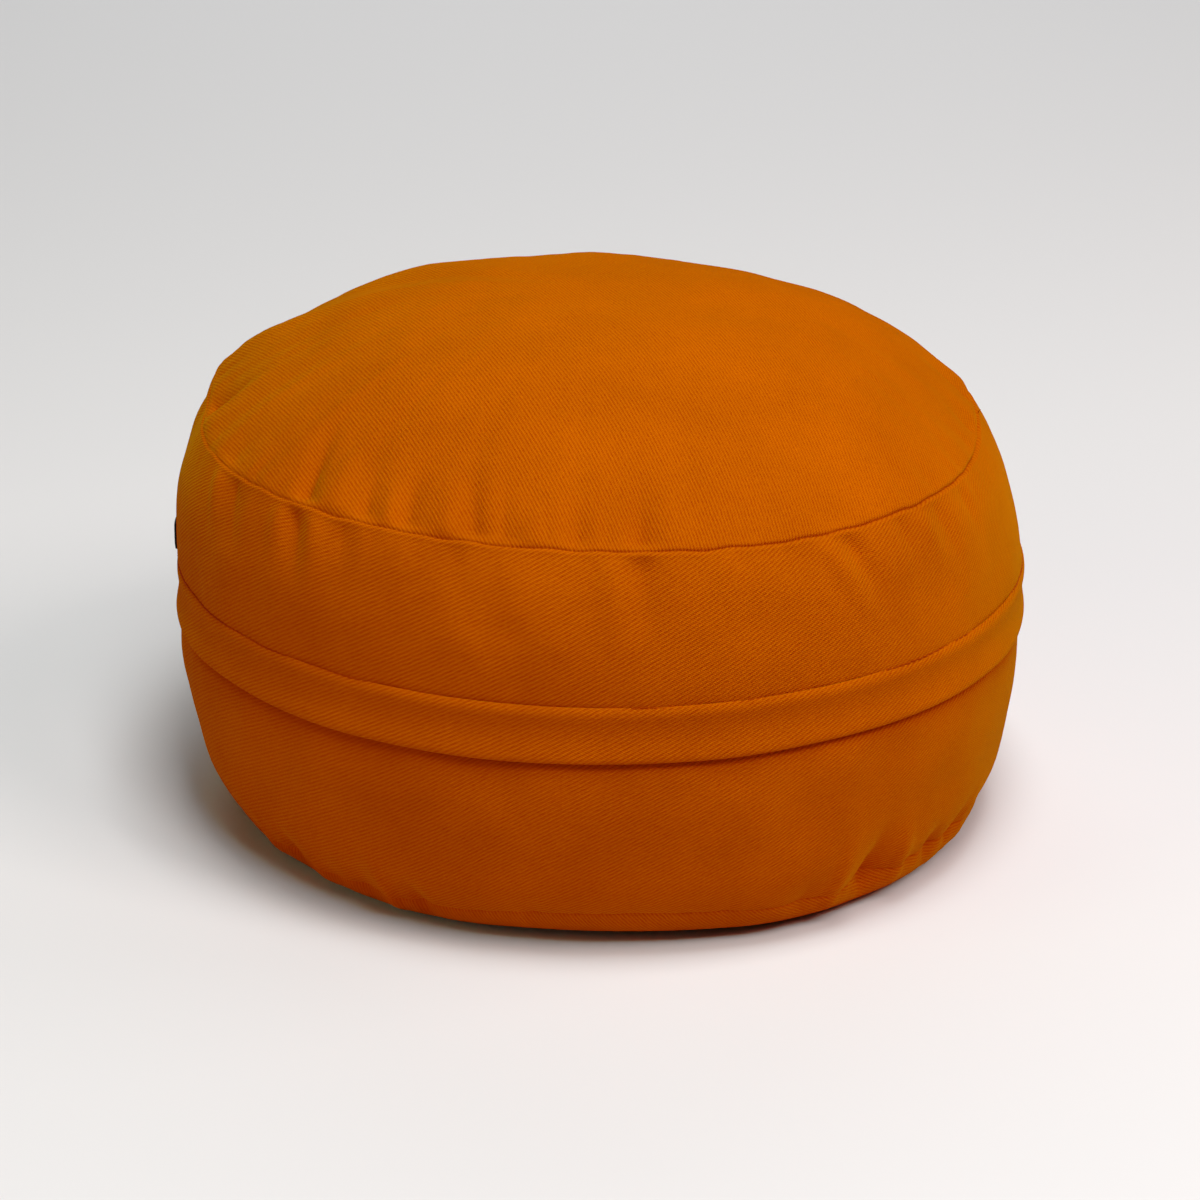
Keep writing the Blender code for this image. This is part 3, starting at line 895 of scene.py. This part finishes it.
# The flap's outer face, from the stitch line down to its fold: how far below the line, how far it stands out
# from the side's radius and how thick its two layers are together, in millimetres. It puffs just under the
# stitching, lies flatter, and flares to its fold.
Face = namedtuple("Face", "below out thick")
FLAP_FACE = (
    Face(-0.10, -2.05, 1.0),
    Face(0.3, -1.76, 1.3),
    Face(0.8, -1.46, 1.6),
    Face(1.3, -1.20, 1.9),
    Face(2.0, -0.96, 2.1),
    Face(2.8, -0.82, 2.2),
    Face(3.8, -0.82, 2.2),
    Face(5.0, -0.97, 2.2),
    Face(6.5, -1.15, 2.15),
    Face(8.5, -1.28, 2.1),
    Face(10.5, -1.24, 2.1),
    Face(12.5, -1.06, 2.1),
    Face(14.5, -0.76, 2.1),
    Face(16.5, -0.38, 2.15),
    Face(18.0, -0.10, 2.2),
    Face(19.2, 0.06, 2.25),
    Face(19.9, 0.0, 2.2),
)
FLAP_STEPS = 4 * STITCHES
LAYER_GAP = 0.06
FOLD_BENDS = (30, 60, 90, 120, 150)
# Towards its fold the flap lies unevenly, out and up, in millimetres, in so many waves to the round
LIFT_WAVES = (3, 5, 8, 13, 21)
LIFT_STRENGTH = (0.3, 1.0)
LIFT_OUT = 0.45
LIFT_UP = 0.25
# Between two needle holes the flap puffs out, just under the topstitching, in millimetres
PUFF = 0.125
PUFF_BELOW = 0.6
PUFF_REACH = 2.2


def flap_profile():
    """The folded cloth's outline as distances below the stitch line and out, once round: outer face, fold,
    inner face, and the hairline between the two layers."""
    outer = [(face.below, face.out) for face in FLAP_FACE]
    last = FLAP_FACE[-1]
    fold = []
    for turn in FOLD_BENDS:
        bend = math.radians(turn)
        across = last.thick / 2 * (1 - math.cos(bend))
        fold.append((last.below + last.thick / 2 * math.sin(bend), last.out - across))
    inner = [(face.below, face.out - face.thick) for face in reversed(FLAP_FACE)]
    near = [(face.below, face.out - face.thick / 2 - LAYER_GAP / 2) for face in FLAP_FACE]
    far = [(face.below, face.out - face.thick / 2 + LAYER_GAP / 2) for face in reversed(FLAP_FACE)]
    return np.array(outer + fold + inner + near + far)


def make_flap(material):
    """The doubled lower end of the upper band: down from the stitches to its fold, and up again behind."""
    turns = np.arange(FLAP_STEPS) * 2 * math.pi / FLAP_STEPS
    uneven = np.random.default_rng(RANDOM_SEED + 2)
    lift = np.zeros(FLAP_STEPS)
    for waves in LIFT_WAVES:
        strength = uneven.uniform(*LIFT_STRENGTH) / math.sqrt(waves)
        lift += strength * np.sin(waves * turns + uneven.uniform(0, 2 * math.pi))
    up = MM * round_table(FLAP_DRIFT, "up", np.degrees(turns))
    between_holes = -np.cos(turns * STITCHES)
    profile = flap_profile()
    rings = []
    for below, out in profile:
        free = min(max(below / FLAP_FREE_HEIGHT, 0.0), 1.0)
        wave = LIFT_OUT * lift * free**1.5
        puff = PUFF * between_holes * soft_bump((below - PUFF_BELOW) / PUFF_REACH)
        radius = SIDE_RADIUS + MM * (out + wave + puff)
        height = FLAP_STITCH_HEIGHT + up - MM * (below + LIFT_UP * lift * free)
        rings.append(np.stack([radius * np.cos(turns), radius * np.sin(turns), height], axis=-1))
    run = np.concatenate([[0], np.cumsum(np.linalg.norm(np.diff(profile, axis=0), axis=1))]) * MM
    cloth = band_cloth(np.tile(-run[:, None], (1, FLAP_STEPS)))
    steps = np.arange(FLAP_STEPS)
    after = (steps + 1) % FLAP_STEPS
    last = (len(rings) - 1) * FLAP_STEPS
    closing = np.stack([last + steps, last + after, after, steps], axis=-1)
    faces = np.concatenate([net_faces(0, len(rings), FLAP_STEPS), closing])[:, ::-1]
    ends = net_corners(np.stack([cloth[-1], cloth[0]]))
    corners = [net_corners(cloth)[:, ::-1], ends[:, ::-1]]
    made = make_piece("flap_fold", np.concatenate(rings), faces, corners, material)
    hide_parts("flap")


# Thread has a radius where it is pulled tight, in millimetres, and swells by so much where it lies free. A
# stitch arches from hole to hole, starts and ends sunk in the cloth, lies a little under the line of its
# holes and slips up or down, by a different amount each time. Its places are shares of the way.
THREAD_SIDES = 8
THREAD_RADIUS = 0.16
THREAD_SWELL = 0.10
STITCH_PLACES = (0.04, 0.12, 0.28, 0.5, 0.72, 0.88, 0.96)
STITCH_ARCH = 0.50
STITCH_SUNK = 0.16
STITCH_BELOW = 0.10
STITCH_SLIP = 0.12


def tube(path, radii, first):
    """Points, faces and cloth places of a closed round thread along a path, numbered from first."""
    path = np.asarray(path, float)
    ways = np.gradient(path, axis=0)
    ways /= np.linalg.norm(ways, axis=1, keepdims=True)
    out = np.cross(ways, [0.0, 0.0, 1.0])
    out /= np.linalg.norm(out, axis=1, keepdims=True)
    over = np.cross(out, ways)
    turns = np.arange(THREAD_SIDES) * 2 * math.pi / THREAD_SIDES
    points = []
    for place, side, rise, radius in zip(path, out, over, radii):
        points += [place + radius * (math.cos(turn) * side + math.sin(turn) * rise) for turn in turns]
    faces = list(net_faces(first, len(path), THREAD_SIDES)[:, ::-1])
    last = first + (len(path) - 1) * THREAD_SIDES
    faces.append(range(first, first + THREAD_SIDES))
    faces.append(reversed(range(last, last + THREAD_SIDES)))
    run = np.concatenate([[0], np.cumsum(np.linalg.norm(np.diff(path, axis=0), axis=1))])
    across = np.linspace(0, 1, THREAD_SIDES + 1)
    places = np.stack(np.broadcast_arrays(run[:, None], across[None, :]), axis=-1)
    corners = [net_corners(places)[:, ::-1]]
    corners += [np.tile([end, 0.0], (THREAD_SIDES, 1)) for end in (run[0], run[-1])]
    return points, faces, corners


def make_topstitching(panels, material):
    """The single stitches that hold the flap, each dipping at both ends into its needle hole."""
    uneven = np.random.default_rng(RANDOM_SEED + 3)
    holes = panels[2].points[0, ::2]
    ways = panels[2].ways[0, ::2]
    points, faces, corners = [], [], []
    for number in range(STITCHES):
        after = (number + 1) % STITCHES
        away = ways[number] + ways[after]
        away /= np.linalg.norm(away)
        slip = uneven.uniform(-STITCH_SLIP, STITCH_SLIP)
        path, radii = [], []
        for share in STITCH_PLACES:
            arch = math.sin(math.pi * share)
            place = holes[number] + (holes[after] - holes[number]) * share
            place = place + away * MM * (STITCH_ARCH * arch**0.6 - STITCH_SUNK)
            path.append(place + np.array([0, 0, MM * (slip - STITCH_BELOW)]))
            radii.append(MM * (THREAD_RADIUS + THREAD_SWELL * arch**0.5))
        stitch_points, stitch_faces, stitch_corners = tube(path, radii, len(points))
        points += stitch_points
        faces += stitch_faces
        corners += stitch_corners
    made = make_piece("topstitching", points, faces, corners, material)


def make_thread_end(panels, material):
    """The end of the seam's sewing thread, which stands out in a small curl."""
    step = round(THREAD_END_ANGLE / 360 * ROUND_STEPS)
    seam = panels[2].points[-1, step]
    turn = math.radians(THREAD_END_ANGLE)
    out = np.array([math.cos(turn), math.sin(turn), 0.0])
    along = np.array([-math.sin(turn), math.cos(turn), 0.0])
    bends = []
    for far, onward, up in THREAD_END_BENDS:
        bends.append(seam + MM * (far * out + onward * along + np.array([0.0, 0.0, up])))
    points, faces, corners = tube(bends, [THREAD_RADIUS * MM] * len(bends), 0)
    made = make_piece("thread_end", points, faces, corners, material)


def on_band(net, out, angle, height):
    """The point of a band's net at an angle and a height, with the direction out of it."""
    step = (angle % 360) / 360 * ROUND_STEPS
    low = int(step) % ROUND_STEPS
    part = step - int(step)
    found = []
    for column in (low, (low + 1) % ROUND_STEPS):
        values = np.concatenate([net[:, column], out[:, column]], axis=1)
        found.append([np.interp(height, net[:, column, 2], value) for value in values.T])
    both = np.array(found[0]) * (1 - part) + np.array(found[1]) * part
    return both[:3], both[3:] / np.linalg.norm(both[3:])


def make_label(panels, material):
    """The blank ribbon label, folded double and sewn down: a thin curved tab with rounded edges."""
    columns, rows = LABEL_COLUMNS, LABEL_ROWS
    net = panels[2].points
    out = panels[2].ways
    ups = np.linspace(0, 1, rows)
    points = []
    for lift, inset in ((LABEL_LIFT, 0.0), (LABEL_LIFT + LABEL_THICKNESS, LABEL_INSET)):
        for up in ups:
            height = LABEL_BOTTOM + LABEL_HEIGHT * (inset + up * (1 - 2 * inset))
            for share in np.linspace(0, 1, columns):
                angle = LABEL_BACK + (LABEL_FRONT - LABEL_BACK) * share
                point, way = on_band(net, out, angle, height)
                curl = LABEL_CURL * max(0.0, share - LABEL_CURL_START) / (1 - LABEL_CURL_START)
                points.append(point + way * (lift + curl))
    size = rows * columns
    faces = list(net_faces(0, rows, columns, closed=False)[:, ::-1])
    faces += list(net_faces(size, rows, columns, closed=False))
    width = math.radians(LABEL_FRONT - LABEL_BACK) * SIDE_RADIUS
    places = np.stack(np.meshgrid(np.linspace(0, width, columns), ups * LABEL_HEIGHT), axis=-1)
    corners = [net_corners(places)[:, ::-1], net_corners(places)]
    edge = [(0, c) for c in range(columns)] + [(r, columns - 1) for r in range(1, rows)]
    edge += [(rows - 1, c) for c in range(columns - 2, -1, -1)] + [(r, 0) for r in range(rows - 2, 0, -1)]
    for here, after in zip(edge, edge[1:] + edge[:1]):
        number = here[0] * columns + here[1]
        next_number = after[0] * columns + after[1]
        faces.append((number, next_number, size + next_number, size + number))
        corners.append(np.array([places[here], places[after], places[after], places[here]]))
    made = make_piece("label_tab", points, faces, corners, material)
    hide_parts("side_label")


def make_floor():
    """The paper that the cushion stands on, a hair under it so that the two don't meet."""
    data = bpy.data.meshes.new("paper_floor")
    corners = [(FLOOR_HALF * x, FLOOR_HALF * y, 0) for x, y in ((-1, -1), (1, -1), (1, 1), (-1, 1))]
    data.from_pydata(corners, [], [(0, 1, 2, 3)])
    data.materials.append(studio_paper("pale_backdrop_paper", "#dadbdc"))
    floor = bpy.data.objects.new("paper_floor", data)
    bpy.context.scene.collection.objects.link(floor)
    floor.location.z = -FLOOR_DROP


# Softboxes: where each stands and what it points at, in metres, its sides, its power in watts and its colour
Softbox = namedtuple("Softbox", "name place target width height watts colour")
SOFTBOXES = (
    Softbox("overhead_softbox", (0.2, -0.5, 2.3), (0, 0, 0.1), 0.8, 0.8, 33, "#ffffff"),
    Softbox("key_softbox", (1.3, -1.0, 1.7), (0, 0, 0.1), 0.8, 0.8, 19.5, "#fff0ea"),
    Softbox("front_softbox", (0.35, -1.3, 1.95), (0, 0, 0.1), 0.7, 0.7, 14, "#ffffff"),
    Softbox("backdrop_softbox", (0.0, 2.1, 1.8), (0, 2.4, 0), 2.6, 1.2, 26, "#ffffff"),
    Softbox("right_fill", (1.9, 0.2, 1.2), (0, 0, 0.1), 1.0, 1.0, 7, "#ffe8e4"),
    Softbox("left_fill", (-1.9, -1.0, 0.7), (0, 0, 0.1), 1.0, 1.0, 8, "#f2ffdc"),
)


def make_lights():
    """The softboxes, and a dim pale room round them."""
    for box in SOFTBOXES:
        data = bpy.data.lights.new(box.name, "AREA")
        data.shape = "RECTANGLE"
        data.size = box.width
        data.size_y = box.height
        data.energy = box.watts
        data.color = linear(box.colour)
        lamp = bpy.data.objects.new(box.name, data)
        bpy.context.scene.collection.objects.link(lamp)
        lamp.location = box.place
        way = Vector(box.target) - Vector(box.place)
        lamp.rotation_euler = way.to_track_quat("-Z", "Y").to_euler()
    world = bpy.data.worlds.new("pale_room")
    world.use_nodes = True
    background = world.node_tree.nodes["Background"]
    background.inputs["Color"].default_value = (*linear("#f4f4f4"), 1)
    background.inputs["Strength"].default_value = ROOM_LIGHT
    bpy.context.scene.world = world


def make_camera():
    """The camera at the photo's angle, turned a little about its own line of sight as the photo is."""
    data = bpy.data.cameras.new("photo_camera")
    data.lens = CAMERA_LENS
    data.sensor_width = CAMERA_SENSOR
    data.clip_start = 0.05
    data.clip_end = 50.0
    camera = bpy.data.objects.new("photo_camera", data)
    bpy.context.scene.collection.objects.link(camera)
    tilt = math.radians(CAMERA_HEIGHT_ANGLE)
    roll = math.radians(CAMERA_ROLL)
    back = Vector((0, -math.cos(tilt), math.sin(tilt)))
    level = Vector((1, 0, 0))
    above = Vector((0, math.sin(tilt), math.cos(tilt)))
    right = math.cos(roll) * level - math.sin(roll) * above
    up = math.sin(roll) * level + math.cos(roll) * above
    place = Vector((0, 0, CAMERA_TARGET_HEIGHT)) + back * CAMERA_DISTANCE
    camera.matrix_world = Matrix(
        (
            (right.x, up.x, back.x, place.x),
            (right.y, up.y, back.y, place.y),
            (right.z, up.z, back.z, place.z),
            (0, 0, 0, 1),
        )
    )
    bpy.context.scene.camera = camera


# The photo's camera deepens dark tones and lifts middle ones, so the lit orange is yellower than the shaded.
# Each pair is the light of a tone and how light it is shown, with black and white left as they are.
PHOTO_TONES = (
    (0.03, 0.0215),
    (0.045, 0.040),
    (0.0675, 0.074),
    (0.09, 0.112),
    (0.14, 0.170),
    (0.22, 0.240),
    (0.35, 0.352),
    (0.6, 0.597),
)


def set_picture():
    """Displays the rendered light plainly, with the photo's tones on all colours alike."""
    view = bpy.context.scene.view_settings
    view.view_transform = "Standard"
    view.look = "None"
    view.exposure = 0.0
    view.gamma = 1.0
    view.use_curve_mapping = True
    curve = view.curve_mapping.curves[3]
    for tone, shown in PHOTO_TONES:
        curve.points.new(tone, shown)
    view.curve_mapping.update()


def main():
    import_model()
    # The twill's second colour is the painted shade of its furrows, darker and redder than its ribs
    twill = cotton_twill("orange_cotton_twill", "#bb5500", "#983600")
    thread = sewing_thread("orange_topstitch_thread", "#963a00")
    ribbon = woven_ribbon("navy_label_ribbon", "#10131f", "#05070d")
    panels = make_panels()
    make_cushion(panels, twill)
    make_flap(twill)
    make_topstitching(panels, thread)
    make_thread_end(panels, thread)
    make_label(panels, ribbon)
    make_floor()
    make_lights()
    make_camera()
    set_picture()
    bpy.context.view_layer.update()


main()
